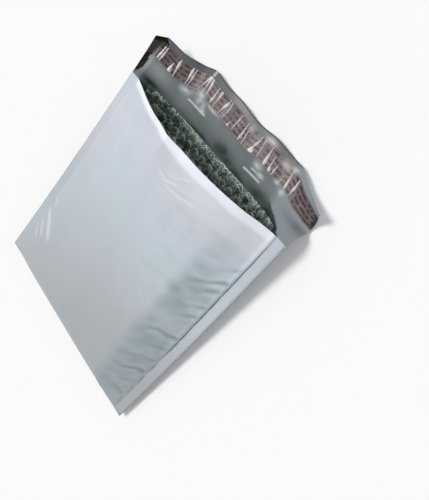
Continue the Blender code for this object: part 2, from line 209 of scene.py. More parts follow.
# The front's painted shade and highlights: where the right flank's shade starts, how dark it and the
# gathers' valleys are, the lip highlight's width in millimetres and how pale it is, and the half width of
# the groove's painted shade as a share of the front's
FLANK_STARTS = 0.56
FLANK_SHADE = 0.42
VALLEY_SHADE = 0.32
LIP_WIDTH = 6
LIP_HIGHLIGHT = 0.85
GROOVE_HALF = 0.0085

# Lining
LINER_GAP = 0.6 * MM
LINER_SIDE = 0.91
LINER_AT_MOUTH = 1.5 * MM
LINER_PAST_MOUTH = 2 * MM
LINER_AT_FOLD = 5 * MM
BUBBLE = 7 * MM
BUBBLE_RISE = 1.1 * MM
BUBBLE_PITCH = 8.2 * MM
BUBBLE_SIDES = 14
# How far a bubble may stand from its place, the shares of its size and height, and its foot's height
BUBBLE_SHIFT = 0.35 * MM
BUBBLE_SIZES = (0.93, 1.04)
BUBBLE_HEIGHTS = (0.6, 1)
BUBBLE_FOOT = 0.1 * MM
# A bubble's profile: share of its radius, share of its height, and how pale it is, as the welded rim's own
# paleness and a painted highlight
BUBBLE_PROFILE = ((1.08, 0, 0.05), (1.01, 0.3, 1), (0.96, 0.6, 0.85), (0.90, 0.8, 0.02), (0.5, 0.97, 0.0))
# The front's layer has bubbles where the bag leaves this much room beside two of them
BUBBLE_ROOM = 3 * MM
BUBBLE_SLOT = 1
# Colour of the fine lines in the bubble film, and how far they stray from straight ones, in metres
FINE_LINE = (0.62, 0.72, 0.68)
FINE_LINE_STRAY = 0.006

# Bands on the flap
RELEASE_WIDTH = 13.8 * MM
RELEASE_FROM_EDGE = 5 * MM
RELEASE_REACH = 1.97
GLUE_WIDTH = 10 * MM
GLUE_OVER_FLAP = 0.25 * MM
RELEASE_OVER_FLAP = 0.5 * MM
BAND_SKIN = 0.1 * MM
BAND_ACROSS_STEP = 0.0033
BAND_ROW_STEP = 0.0125
DASH_ROWS = 4
DASH_HALF = 0.21
DASH_SHIFT = 37.3

# Camera, from the four corners of the bag
CAMERA_AT = (149.7 * MM, 154.4 * MM, 270.2 * MM)
CAMERA_TURN = (0.88, 27.89, 48.05)
LENS = 31.27
SENSOR = 36

# Light: where the lamp shines, its spread in degrees, its strength, and that of the light all round
SUN_TOWARD = (0.48, 0.10, -0.90)
SUN_SPREAD = 20
SUN_STRENGTH = 1.75
FILL_STRENGTH = 0.5


def ease(share):
    """Rises from 0 to 1 with no corner at either end."""
    share = min(max(share, 0), 1)
    return share * share * (3 - 2 * share)


def between(points, place):
    """Reads a smooth curve through points, each a tuple that starts with its place."""
    last = len(points) - 1
    index = max([i for i in range(last) if points[i][0] <= place], default=0)
    before, start, end, after = (points[min(max(index + i, 0), last)] for i in (-1, 0, 1, 2))
    span = end[0] - start[0]
    share = (place - start[0]) / span
    square, cube = share ** 2, share ** 3
    values = []
    for column in range(1, len(start)):
        slope_in = (end[column] - before[column]) / (end[0] - before[0]) * span
        slope_out = (after[column] - start[column]) / (after[0] - start[0]) * span
        from_start = (2 * cube - 3 * square + 1) * start[column] + (cube - 2 * square + share) * slope_in
        from_end = (3 * square - 2 * cube) * end[column] + (cube - square) * slope_out
        values.append(from_start + from_end)
    return values


def seam_height(along):
    """Height of the side seals over the floor."""
    return SEAM_AT_FOLD + (SEAM_AT_MOUTH - SEAM_AT_FOLD) * along ** SEAM_BEND


def across(place, along):
    """X of a place: -1 to 1 between the seal roots, and on to -2 and 2 at the film's edges."""
    root = WIDTH / 2 - MOUTH_PINCH * along ** SEAM_BEND - SEAL
    if abs(place) <= 1:
        return root * place
    return math.copysign(root + (abs(place) - 1) * SEAL, place)


def swell(along):
    """How much of its height the bag has: 0 at the bottom fold, and 1 past its round."""
    short = 1 - min(along * DEPTH / FOLD_ROUND, 1)
    return math.sqrt(1 - short ** 2)


def lifted(place, along):
    """How far the back follows the seals: 0 in its flat middle, and 1 at the seal roots."""
    rest = REST_AT_FOLD + (REST_AT_MOUTH - REST_AT_FOLD) * along
    return min(max((abs(place) - rest) / (1 - rest), 0), 1) ** 2


def back(place, along):
    """Mid surface of the back."""
    seam = seam_height(along)
    height = seam + (FILM / 2 - seam) * swell(along) * (1 - lifted(place, along))
    return Vector((across(place, along), along * DEPTH - DEPTH / 2, height))


def plain_front(place, along):
    """The front with no gathers and no creases."""
    seam = seam_height(along)
    if abs(place) >= 1:
        return Vector((across(place, along), along * DEPTH - DEPTH / 2, seam))
    top = PANEL_AT_FOLD + PANEL_SWELL * along
    top += (LIP_HEIGHT - PANEL_AT_FOLD - PANEL_SWELL) * ease((along - RISE_STARTS) / (1 - RISE_STARTS))
    lip = between(LIP_OUTLINE, place)[0]
    to_lip = ease((along - LIP_STARTS) / (1 - LIP_STARTS))
    form = (1 - abs(place) ** PANEL_SQUARENESS) * (1 - to_lip) + lip * to_lip
    height = seam + (top - seam) * swell(along) * form
    draw = LIP_DRAW * max(lip, 0) ** LIP_DRAW_BEND * ease((along - DRAW_STARTS) / (1 - DRAW_STARTS))
    return Vector((across(place, along), along * DEPTH - DEPTH / 2 - draw, height))


def front_for_liner(place, along):
    """The front as the bubble film meets it, under the deepest of its gathers."""
    point = plain_front(place, along)
    room = ease((place - GATHER_IN + 0.05) / 0.2) * ease(along / 0.06) * ease((0.9 - along) / 0.2)
    point.z -= GATHER_DEPTH * MM * room
    return point


def to_line(x, y, points):
    """Distance from a line through points, the share along it, and the side it is on; all flat, in mm."""
    best = None
    done, total = 0, sum(math.dist(a, b) for a, b in zip(points, points[1:]))
    for (ax, ay), (bx, by) in zip(points, points[1:]):
        length = math.dist((ax, ay), (bx, by))
        share = ((x - ax) * (bx - ax) + (y - ay) * (by - ay)) / length ** 2
        share = min(max(share, 0), 1)
        gap = math.hypot(x - ax - share * (bx - ax), y - ay - share * (by - ay))
        if best is None or gap < best[0]:
            side = (bx - ax) * (y - ay) - (by - ay) * (x - ax)
            best = (gap, (done + share * length) / total, side)
        done += length
    return best


def toward_seal(place):
    """0 at the gathers' inner line and left of it, and 1 at the right seal and beyond."""
    return min(max((place - GATHER_IN) / (1 - GATHER_IN), 0), 1)


def gathers(place, y):
    """Rise or fall of the front along the right seal, in mm: valleys between low ridges."""
    inward = 1 - toward_seal(place)
    rise = 0
    for at_seal, at_inner, depth, reach in GATHERS:
        wave = 3.2 * noise.noise(Vector((3.1 * inward, 0.31 * at_seal, 8.2)))
        off = abs(y - at_seal - (at_inner - at_seal) * inward - wave) / GATHER_HALF
        if off > 3.5:
            continue
        fade = ease(inward / GATHER_AT_SEAL) * ease(1 - inward / reach)
        valley = math.exp(-(off / (0.5 + 0.5 * inward)) ** 1.5)
        rise += depth * fade * (GATHER_RIDGE * math.exp(-((off - 1.2) / 0.7) ** 2) - 0.85 * valley)
    return rise


def crease(x, y, points, height, width):
    """A sharp low ridge along a line, which dies out at both ends."""
    gap, share = to_line(x, y, points)[:2]
    if gap > width * 4:
        return 0
    fade = ease(share / 0.25) * ease((1 - share) / 0.25)
    return height * fade * math.exp(-abs(gap / width) ** 1.3)


def soft(x, y, size, seed):
    """Smooth noise from -1 to 1 on the film, with folds of about the given size in mm."""
    return noise.noise(Vector((x / size, y / size, seed)))


def puckers(place, x, y):
    """Finer folds between the gathers, which run the same way."""
    run, over = 0.85 * x + 0.53 * y, 0.53 * (80 - x) + 0.85 * y
    window = ease((place - 0.52) / 0.2) * ease((0.995 - place) / 0.07) * ease((75 - y) / 35)
    return window * (1.1 * soft(run, 3 * over, 27, 6.6) + 0.45 * soft(run, 2.4 * over, 10, 2.9))


def front(place, along):
    """The front as it shows, with its gathers and creases."""
    point = plain_front(place, along)
    if abs(place) > 1:
        point.z += FRONT_LIFT
        point.z += SEAL_WAVE * (0.5 + soft(0, point.y / MM, 22, 3.1)) * (abs(place) - 1)
        return point
    x, y = point.x / MM, point.y / MM
    beside = max(1 - abs(place - CREASE_PLACE) / CREASE_HALF, 0)
    point.z += CREASE_RISE * beside ** 1.5 * ease((along - CREASE_STARTS) / (1 - CREASE_STARTS))
    point.z += front_relief(place, along, x, y) * MM
    point.z += FRONT_LIFT
    overhang(point, place, y)
    return point


def front_relief(place, along, x, y):
    """Rise of the front's gathers, creases, turned lip and soft waves, in millimetres."""
    held = ease((1 - abs(place)) / 0.12) * ease(along / 0.05)
    rise = gathers(place, along * DEPTH / MM - DEPTH / MM / 2) + puckers(place, x, y)
    rise += sum(crease(x, y, (start, end), height, width) for start, end, height, width in LEFT_GATHERS)
    for line in CREASES:
        rise += crease(x, y, *line) * held
    gap, share, side = to_line(x, y, LIP_TURN)
    if 0 < share < 1 and side > 0:
        rise += LIP_TURN_SLOPE * gap * ease(gap / 4) * ease(share / 0.3) * ease((1 - share) / 0.3)
    rise += held * (0.7 * soft(x, y, 52, 1.7) + 0.18 * soft(x, y, 19, 5.3))
    cockled = ease((along - 0.55) / 0.25) * ease((place + 0.3) / 0.5)
    rise += held * cockled * 0.3 * soft(0.6 * x + 0.5 * y, 2.2 * y - 0.5 * x, 13, 8.9)
    rise += held * cockled * 0.12 * soft(0.6 * x + 0.5 * y, 1.8 * y - 0.5 * x, 5, 3.9)
    return rise


def overhang(point, place, y):
    """Lets the front bulge over the right seal, so that a dark groove runs along the seal's root."""
    share = (place - OVERHANG_STARTS) / (1 - OVERHANG_STARTS)
    if not 0 < share < 1:
        return
    amount = ease((y + 34) / 20) * (0.7 + 0.3 * soft(0, y, 11, 6.1))
    point.x += OVERHANG * amount * math.sin(math.pi * share) ** 0.8
    point.z += OVERHANG_RISE * amount * math.sin(math.pi * min(share * 0.9, 1))


def wrinkle(x, out, inner_x, inner_out, outer_x, outer_out, width, widest):
    """How far up one wrinkle's tent a place is, from 0 to 1; the tent narrows to both ends."""
    share = (out - inner_out) / (outer_out - inner_out)
    if not 0 < share < 1:
        return 0
    middle = inner_x + (outer_x - inner_x) * share + 0.3 * soft(inner_x, 40 * out, 6, 2.2)
    full = share / widest if share < widest else (1 - share) / (1 - widest)
    half = max(1.1 * width * full ** 0.9 * (1 + 0.2 * soft(inner_x, 40 * out, 5, 6.1)), WRINKLE_LEAST)
    ends = ease(share / 0.06) * ease((1 - share) / 0.06)
    return ends * max(0, 1 - abs(x - middle) / (1.2 * half))


def wrinkles(x, out):
    """How far up the highest wrinkle at a place is, from 0 to 1."""
    return max(wrinkle(x, out, *each) for each in WRINKLES)


def patch(x, y, patches):
    """How deep inside one of some soft oval patches a place is, from 0 to 1."""
    return max(math.exp(-((x - at_x) / wide) ** 2 - ((y - at_y) / long) ** 2)
               for at_x, at_y, wide, long in patches)


def plain_flap(place, out):
    """X, y and z of the flap as the solids have it, where out is 0 at the mouth and 1 at its free edge."""
    height, short = between(FLAP_LEFT if place < 0 else FLAP_RIGHT, out)
    follows = lifted(min(abs(place), 1), 1)
    x = across(place, 1)
    y = DEPTH / 2 + FLAP * out - follows * short
    ripple = 0.5 - 0.5 * math.cos(FLAP_RIPPLES * math.pi * (place + 1))
    z = FILM / 2 + (height - FILM / 2) * follows
    z += FLAP_RIPPLE * out ** 2 * (1 - follows) * ripple
    if place < -1:
        beyond = (abs(place) - 1) * SEAL
        turned = max(beyond - SEAL * (1 - out), 0)
        x = across(-1, 1) - (beyond - turned) - turned * math.cos(TURNED_EDGE)
        y -= turned * TURNED_BACK
        z += turned * math.sin(TURNED_EDGE)
    if place > 1:
        tip = (place - 1) * ease((out - TIP_FROM) / (1 - TIP_FROM))
        y -= TIP_BACK * tip
        z += TIP_RISE * tip
    return x, y, z


def flap(place, out):
    """The flap as it shows, with its uneven free edge, folds, hollows and soft waves."""
    x, y, z = plain_flap(place, out)
    flat_x, flat_y = x / MM, y / MM
    y += between(FLAP_EDGE, min(max(place, -1), 1))[0] * MM * ease(out / 0.6)
    follows = lifted(min(abs(place), 1), 1)
    fold = ease(out / 0.12) * (1 - follows * 0.6)
    rise = sum(crease(flat_x, flat_y, *line) for line in FLAP_FOLDS)
    rise += 0.5 * soft(flat_x, flat_y, 17, 4.4) + 0.2 * soft(flat_x, flat_y, 7, 7.7)
    rise -= 0.8 * patch(flat_x, flat_y, HOLLOWS)
    return Vector((x, y, z + max(fold * rise, -0.2) * MM))


def raised(surface, place, along, height):
    """A point at a height over a surface, at right angles to it."""
    over_x = surface(place + SLOPE_STEP, along) - surface(place - SLOPE_STEP, along)
    ahead = min(along + SLOPE_STEP, max(along, 1))
    over_y = surface(place, ahead) - surface(place, max(along - SLOPE_STEP, 0))
    return surface(place, along) + over_x.cross(over_y).normalized() * height


def inside(surface, place, along, height):
    """A point inside the bag, at a height over its back or under its front."""
    return raised(surface, place, along, height if surface is back else -height)


def spread(low, high, step):
    """Even places from low to high, about a step apart."""
    count = max(1, round((high - low) / step))
    return [low + (high - low) * index / count for index in range(count + 1)]


def grid_mesh(name, columns, rows, place):
    """A sheet whose point (column, row) goes where place says."""
    points = [place(column, row) for row in rows for column in columns]
    wide = len(columns)
    faces = []
    for row in range(len(rows) - 1):
        for column in range(wide - 1):
            corner = row * wide + column
            faces.append((corner, corner + 1, corner + wide + 1, corner + wide))
    mesh = bpy.data.meshes.new(name)
    mesh.from_pydata(points, [], faces)
    return mesh


def add_field(mesh, name, values):
    """Stores one number for each point, which a material reads."""
    stored = mesh.attributes.new(name, "FLOAT", "POINT")
    stored.data.foreach_set("value", values)


def with_thickness(name, mesh, materials, thickness, inner_offset):
    """Gives a sheet two faces and a rim, and returns its object."""
    sheet = bpy.data.objects.new(name + "_sheet", mesh)
    bpy.context.scene.collection.objects.link(sheet)
    for material in materials:
        mesh.materials.append(material)
    wall = sheet.modifiers.new("Film", "SOLIDIFY")
    wall.thickness = thickness
    wall.offset = 0
    wall.material_offset = inner_offset
    wall.material_offset_rim = inner_offset
    solid = bpy.data.meshes.new_from_object(sheet.evaluated_get(bpy.context.evaluated_depsgraph_get()))
    bpy.data.objects.remove(sheet)
    solid.name = name
    solid.shade_smooth()
    solid.set_sharp_from_angle(angle=math.radians(60))
    made = bpy.data.objects.new(name, solid)
    bpy.context.scene.collection.objects.link(made)
    return made


def node(tree, kind, **inputs):
    """A shader node with some of its inputs set."""
    made = tree.nodes.new(kind)
    for key, value in inputs.items():
        made.inputs[key.replace("_", " ")].default_value = value
    return made


def new_material(name, roughness, **sockets):
    """A Principled material and its node tree and shader."""
    material = bpy.data.materials.new(name)
    material.use_nodes = True
    shader = material.node_tree.nodes["Principled BSDF"]
    shader.inputs["Roughness"].default_value = roughness
    for key, value in sockets.items():
        shader.inputs[key.replace("_", " ")].default_value = value
    return material, material.node_tree, shader


def noise_on(tree, scale, detail=3, rough=0.5, distortion=0):
    """A noise texture in the object's own coordinates."""
    where = tree.nodes.new("ShaderNodeTexCoord")
    made = node(tree, "ShaderNodeTexNoise", Scale=scale, Detail=detail, Roughness=rough,
                Distortion=distortion)
    tree.links.new(where.outputs["Object"], made.inputs["Vector"])
    return made


def ramp(tree, source, *stops):
    """Colours at places along a number from 0 to 1."""
    made = tree.nodes.new("ShaderNodeValToRGB")
    elements = made.color_ramp.elements
    while len(elements) < len(stops):
        elements.new(0.5)
    for element, (place, colour) in zip(elements, stops):
        element.position = place
        element.color = (*colour, 1)
    tree.links.new(source, made.inputs["Fac"])
    return made.outputs["Color"]


def field(tree, name):
    """A number that is stored at the mesh's points."""
    made = tree.nodes.new("ShaderNodeAttribute")
    made.attribute_name = name
    return made.outputs["Fac"]


def mixed(tree, share, first, second):
    """Mixes two colours, each an output or three numbers."""
    made = tree.nodes.new("ShaderNodeMix")
    made.data_type = "RGBA"
    for index, value in ((0, share), (6, first), (7, second)):
        if isinstance(value, bpy.types.NodeSocket):
            tree.links.new(value, made.inputs[index])
        else:
            made.inputs[index].default_value = value if index == 0 else (*value, 1)
    return made.outputs[2]


def math_on(tree, operation, first, second=0.0, third=0.0):
    """The result of a math operation on numbers or outputs."""
    made = tree.nodes.new("ShaderNodeMath")
    made.operation = operation
    for index, value in enumerate((first, second, third)):
        if isinstance(value, bpy.types.NodeSocket):
            tree.links.new(value, made.inputs[index])
        else:
            made.inputs[index].default_value = value
    return made.outputs[0]


def bump(tree, shader, height, strength, distance):
    """Bumps a shader's surface by a height."""
    made = node(tree, "ShaderNodeBump", Strength=strength, Distance=distance)
    tree.links.new(height, made.inputs["Height"])
    tree.links.new(made.outputs["Normal"], shader.inputs["Normal"])


def white_film():
    """The outside: pale blue grey, pearly, with painted light at the lip and painted shade low down and in
    the right flank.
    """
    material, tree, shader = new_material("white_film", 0.5, Specular_IOR_Level=0.3)
    tint = noise_on(tree, 10, 2)
    colour = ramp(tree, tint.outputs["Fac"], (0.36, (0.530, 0.608, 0.655)), (0.5, (0.550, 0.604, 0.672)),
                  (0.64, (0.582, 0.600, 0.668)))
    # Painted shade low down, in the right flank and the gathers' valleys, a painted highlight along the
    # lip, and painted shade in the groove at the right seal's root
    colour = mixed(tree, field(tree, "low"), colour, (0.385, 0.412, 0.432))
    colour = mixed(tree, field(tree, "shade"), colour, (0.215, 0.290, 0.315))
    colour = mixed(tree, field(tree, "lip"), colour, (0.900, 0.935, 0.985))
    colour = mixed(tree, field(tree, "groove"), colour, (0.030, 0.045, 0.050))
    tree.links.new(colour, shader.inputs["Base Color"])
    cockle = noise_on(tree, 95, 4, 0.6, 0.4)
    bump(tree, shader, cockle.outputs["Fac"], 0.2, 0.7 * MM)
    return material


def grey_film():
    """The inside: grey and smooth, darker toward the mouth and dark green in the hollows as painted shade,
    pale on folds as painted highlights.
    """
    material, tree, shader = new_material("grey_film", 0.5, Specular_IOR_Level=0.1)
    cloud = noise_on(tree, 34, 3)
    low = ramp(tree, cloud.outputs["Fac"], (0.3, (0.060, 0.078, 0.074)), (0.7, (0.105, 0.122, 0.120)))
    middle = ramp(tree, cloud.outputs["Fac"], (0.3, (0.130, 0.160, 0.162)), (0.7, (0.190, 0.210, 0.220)))
    high = ramp(tree, cloud.outputs["Fac"], (0.3, (0.270, 0.268, 0.266)), (0.7, (0.350, 0.345, 0.345)))
    # tone darkens the film toward the mouth, and dark its hollows and shadow line, as painted shade;
    # smooth lightens the flap's right end as painted light, and pale paints highlights on folds
    colour = mixed(tree, field(tree, "tone"), low, middle)
    colour = mixed(tree, field(tree, "hem"), colour, high)
    colour = mixed(tree, field(tree, "edge"), colour, (0.045, 0.044, 0.042))
    colour = mixed(tree, field(tree, "smooth"), colour, (0.262, 0.290, 0.312))
    colour = mixed(tree, field(tree, "dark"), colour, (0.010, 0.024, 0.014))
    colour = mixed(tree, field(tree, "pale"), colour, (0.66, 0.70, 0.70))
    tree.links.new(colour, shader.inputs["Base Color"])
    cockle = noise_on(tree, 150, 4, 0.55, 0.5)
    bump(tree, shader, cockle.outputs["Fac"], 0.18, 0.5 * MM)
    return material


def painted_shade_film():
    """Painted shade: the inside where the flap's left corner is turned away from the light."""
    material, tree, shader = new_material("painted_shade_film", 0.7, Specular_IOR_Level=0.02)
    cloud = noise_on(tree, 160, 3)
    colour = ramp(tree, cloud.outputs["Fac"], (0.3, (0.006, 0.006, 0.005)), (0.7, (0.028, 0.026, 0.020)))
    tree.links.new(colour, shader.inputs["Base Color"])
    return material


def fine_lines(tree, scale, width):
    """A net of thin crooked lines, each fainter in places."""
    where = tree.nodes.new("ShaderNodeTexCoord")
    warp = noise_on(tree, 130, 2)
    shifted = node(tree, "ShaderNodeVectorMath")
    shifted.operation = "MULTIPLY_ADD"
    shifted.inputs[1].default_value = [FINE_LINE_STRAY] * 3
    tree.links.new(warp.outputs["Color"], shifted.inputs[0])
    tree.links.new(where.outputs["Object"], shifted.inputs[2])
    cells = node(tree, "ShaderNodeTexVoronoi", Scale=float(scale))
    cells.feature = "DISTANCE_TO_EDGE"
    tree.links.new(shifted.outputs["Vector"], cells.inputs["Vector"])
    line = math_on(tree, "LESS_THAN", cells.outputs["Distance"], width)
    return math_on(tree, "MULTIPLY", line, noise_on(tree, 200, 2).outputs["Fac"])


def bubble_film():
    """The flat film between the bubbles: dark, crossed by fine pale lines where it is stretched."""
    material, tree, shader = new_material("bubble_film", 0.3, Specular_IOR_Level=0.2)
    cloud = noise_on(tree, 60, 3)
    colour = ramp(tree, cloud.outputs["Fac"], (0.35, (0.050, 0.084, 0.068)),
                  (0.65, (0.135, 0.178, 0.160)))
    line = math_on(tree, "MULTIPLY", fine_lines(tree, 190, 0.06), 1.5)
    colour = mixed(tree, line, colour, FINE_LINE)
    tree.links.new(colour, shader.inputs["Base Color"])
    bump(tree, shader, line, 0.3, 0.2 * MM)
    return material


def bubble_top():
    """The bubbles: dark where they show the inside through clear film, pale at the welded rim with a
    painted highlight.
    """
    material, tree, shader = new_material("bubble_top", 0.22, Specular_IOR_Level=0.25)
    cloud = noise_on(tree, 210, 3)
    dark = ramp(tree, cloud.outputs["Fac"], (0.35, (0.022, 0.050, 0.037)), (0.65, (0.085, 0.125, 0.106)))
    clear = ramp(tree, cloud.outputs["Fac"], (0.35, (0.110, 0.150, 0.130)), (0.65, (0.210, 0.260, 0.235)))
    colour = mixed(tree, field(tree, "clear"), dark, clear)
    colour = mixed(tree, math_on(tree, "MULTIPLY", fine_lines(tree, 150, 0.045), 0.8), colour, FINE_LINE)
    # The rim: the welded edge's own paleness, brighter on one side as a painted highlight
    rim = math_on(tree, "MULTIPLY", field(tree, "ring"), math_on(tree, "ADD", cloud.outputs["Fac"], 0.5))
    colour = mixed(tree, rim, colour, (0.80, 0.92, 0.86))
    tree.links.new(colour, shader.inputs["Base Color"])
    dimple = noise_on(tree, 380, 2)
    bump(tree, shader, dimple.outputs["Fac"], 0.6, 0.5 * MM)
    return material


def glue():
    """The glue band: greyish beige, and a little glossy."""
    material, tree, shader = new_material("glue", 0.35)
    cloud = noise_on(tree, 300, 2)
    colour = ramp(tree, cloud.outputs["Fac"], (0.3, (0.40, 0.37, 0.32)), (0.7, (0.48, 0.45, 0.40)))
    tree.links.new(colour, shader.inputs["Base Color"])
    return material


def dashes(tree):
    """1 on the rows of dashes that run along a band, and 0 elsewhere."""
    rows = math_on(tree, "MULTIPLY", field(tree, "band_y"), float(DASH_ROWS))
    row = math_on(tree, "FLOOR", rows)
    in_row = math_on(tree, "ABSOLUTE", math_on(tree, "SUBTRACT", math_on(tree, "FRACT", rows), 0.5))
    on_line = math_on(tree, "LESS_THAN", in_row, DASH_HALF)
    shifted = math_on(tree, "ADD", field(tree, "band_x"), math_on(tree, "MULTIPLY", row, DASH_SHIFT))
    breaks = node(tree, "ShaderNodeTexNoise", Scale=0.26, Detail=1.5, Roughness=0.6)
    breaks.noise_dimensions = "1D"
    tree.links.new(shifted, breaks.inputs["W"])
    inked = math_on(tree, "GREATER_THAN", breaks.outputs["Fac"], 0.46)
    return math_on(tree, "MULTIPLY", on_line, inked)


def release_film():
    """The release film: pinkish grey, with rows of plain dark dashes, painted highlights along its
    wrinkles and painted shade at its turned ends.
    """
    material, tree, shader = new_material("release_film", 0.4, Specular_IOR_Level=0.3)
    ground = noise_on(tree, 130, 3)
    colour = ramp(tree, ground.outputs["Fac"], (0.35, (0.112, 0.088, 0.086)),
                  (0.65, (0.185, 0.148, 0.146)))
    colour = mixed(tree, math_on(tree, "MULTIPLY", dashes(tree), 0.92), colour, (0.036, 0.012, 0.014))
    # Painted shade where the band's ends are turned away from the light, and painted highlights on its
    # wrinkles
    colour = mixed(tree, field(tree, "dark"), colour, (0.012, 0.011, 0.009))
    colour = mixed(tree, field(tree, "pale"), colour, (0.95, 0.89, 0.89))
    tree.links.new(colour, shader.inputs["Base Color"])
    crinkle = noise_on(tree, 210, 3, 0.5, 0.6)
    bump(tree, shader, crinkle.outputs["Fac"], 0.2, 0.5 * MM)
    return material


def outer_film():
    """The folded sheet: flap, back, bottom fold and front, white outside and grey inside."""
    left_seal, right_seal = spread(-2, -1.1, 0.15) + [-1.03], [1.03, 1.25, 1.5, 1.75, 2]
    columns = left_seal + spread(-1, OVERHANG_STARTS, ACROSS_STEP)
    columns += spread(OVERHANG_STARTS, 1, OVERHANG_STEP)[1:] + right_seal
    fold_rows = [0, 0.003, 0.007, 0.013, 0.020, 0.028, 0.037]
    flap_rows = [1, 0.986, 0.972] + spread(0.955, 0.36, -FLAP_STEP)
    flap_rows += spread(0.35, 0.26, -0.009) + spread(0.245, 0, -FLAP_STEP)
    rows = [("flap", out) for out in flap_rows]
    rows += [("back", along) for along in spread(0.985, 0.05, -BACK_STEP) + fold_rows[::-1]]
    rows += [("front", along) for along in fold_rows + spread(0.043, 1, FRONT_STEP)]
    surfaces = {"flap": flap, "back": back, "front": front}
    mesh = grid_mesh("outer_film_mesh", columns, rows, lambda place, row: surfaces[row[0]](place, row[1]))
    fields = {"flap": flap_fields, "back": back_fields, "front": front_fields}
    values = [fields[kind](place, share) for kind, share in rows for place in columns]
    for name in FIELDS:
        add_field(mesh, name, [value.get(name, 0) for value in values])
    for index, face in enumerate(mesh.polygons):
        row, column = divmod(index, len(columns) - 1)
        kind, out = rows[row]
        middle = (columns[column] + columns[column + 1]) / 2
        if kind == "flap" and middle < between(TURNED_BORDER, out)[0]:
            face.material_index = TURNED_SLOT
    white = white_film()
    materials = [white, grey_film(), white, painted_shade_film()]
    made = with_thickness("outer_film_sheet", mesh, materials, SKIN, INNER_SLOT)
    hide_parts("outer_film")
    return made


def flap_fields(place, out):
    """Fields of a place on the flap's inside, with its painted shade, light and highlights."""
    x, y = across(place, 1) / MM, (DEPTH / 2 + FLAP * out) / MM
    # Darker toward the mouth as painted shade
    tone = ease((out + 0.04 + 0.12 * ease((-x - 45) / 25)) / 0.45) + 0.3 * ease((-x - 60) / 15)
    past_strip = ease((out - 0.80) / 0.08)
    hem = past_strip * between(HEM_TONES, min(max(place, -1), 1))[0]
    edge = max(0.45 * past_strip * (1 - hem), 0.8 if out > 0.98 else 0)
    # Painted light on the smooth right end, and painted shade in the hollows and along the shadow line
    gap, share, side = to_line(x, y, SMOOTH_LINE)
    smooth = ease((gap if side > 0 else -gap) / 2 + 0.1) * ease((x - 50) / 10)
    shadow = math.exp(-((gap + 0.2) / 1.9) ** 2) * ease((x - 50) / 8)
    dark = min(1.15 * patch(x, y, HOLLOWS), 0.97) * (0.85 + 0.3 * soft(x, y, 6, 5.9)) * (1 - smooth)
    dark = max(dark, shadow * (side < 0), 0.95 * ease((y_under_smooth(x) - y) / 0.6))
    pale = flap_painted_highlights(x, y) if dark < 0.8 else 0
    return {"dark": min(dark, 1), "pale": pale, "tone": min(tone, 1), "hem": hem, "edge": edge,
            "smooth": smooth}


def flap_painted_highlights(x, y):
    """Painted highlights on the flap's inside, as pale patches and streaks on its folds."""
    pale = 0.85 * patch(x, y, HIGHLIGHT_PATCHES) * ease(soft(x, y, 4, 3.3) + 0.85)
    pale = max(pale, 0.34 * math.exp(-((x + 74) / 11) ** 2 - ((y - 109.5) / 7) ** 2))
    for points, width in HIGHLIGHT_STREAKS:
        gap = to_line(x, y, points)[0]
        pale = max(pale, math.exp(-(gap / width) ** 2))
    return pale


def y_under_smooth(x):
    """Below this the film at the right end of the mouth is in black shadow."""
    return 98.6 - 0.32 * (x - 62) if 60 < x < 76 else 0


def back_fields(place, along):
    """Fields of the back, which are the same all over: both its faces darkened as painted shade."""
    return {"dark": 0.3, "low": 0.3}


def front_fields(place, along):
    """Fields of a place on the front, whose inside is darkened as painted shade."""
    x, y = across(place, along) / MM, (along * DEPTH - DEPTH / 2) / MM
    found = {"dark": 0.5, "low": front_painted_low_shade(place, x, y), "groove": front_painted_groove_shade(place, along, y)}
    if abs(place) <= 1:
        found["shade"] = front_shade(place, along, x, y)
        found["lip"] = front_painted_highlight(place, along, x, y)
    elif place > 1:
        found["shade"] = 0.06 + 0.16 * ease((y - 10) / 70)
    return found


def front_painted_low_shade(place, x, y):
    """Painted shade on the front: most at the bottom and toward the right, less on the left seal."""
    low = 0.95 * ease((70 - y) / 185) + 0.24 * ease((x + 60) / 110) * ease((20 - y) / 60)
    low += 0.12 * ease((-x - 50) / 25) * ease((y + 20) / 30) * ease((70 - y) / 20)
    if place < -1:
        low += 0.08 * ease((60 - y) / 40) - 0.34 * ease((-10 - y) / 50)
    return min(max(low, 0), 1)


def front_shade(place, along, x, y):
    """How shaded the front is: its right flank, the valleys of its gathers and soft clouds."""
    flank = ease((place - FLANK_STARTS - 0.04 * soft(0, y, 17, 3.7)) / 0.15)
    flank *= 1 - 0.85 * ease((along - 0.60) / 0.28)
    flank *= 1 - 0.4 * ease((place - 0.87) / 0.06) * ease((-y - 50) / 14)
    valley = -(gathers(place, y) + 0.9 * puckers(place, x, y))
    shade = (FLANK_SHADE + 0.08 * ease((y + 50) / 20)) * flank
    shade += min(max(VALLEY_SHADE * valley, -0.24), 0.42)
    cloud = soft(0.6 * x + 0.5 * y, 2 * y - 0.6 * x, 13, 2.1)
    shade += 0.20 * ease((place - 0.1) / 0.3) * ease((y + 20) / 40) * cloud
    shade += 0.07 * soft(x, y, 11, 6.4) + 0.05 * soft(x, y, 34, 1.4)
    return min(max(shade, 0), 1)


def front_painted_highlight(place, along, x, y):
    """Painted highlights on the front: along its lip, on the film next to it, and in streaks on its ridges
    and creases.
    """
    width = (LIP_WIDTH + 3.5 * ease((place + 0.2) / 0.25) + 1.4 * soft(x, 0, 26, 9.9)) * MM / DEPTH
    lip = LIP_HIGHLIGHT * ease((along - 1 + width) / width * 1.8) * ease((1 - abs(place)) / 0.05)
    lip = max(lip, 0.30 * ease((along - 0.82) / 0.14) * ease((place + 0.1) / 0.6))
    for points, half, strength in FRONT_HIGHLIGHT_STREAKS:
        gap, share = to_line(x, y, points)[:2]
        ends = ease(share / 0.3) * ease((1 - share) / 0.3)
        lip = max(lip, strength * ends * math.exp(-(gap / half) ** 2))
    return lip


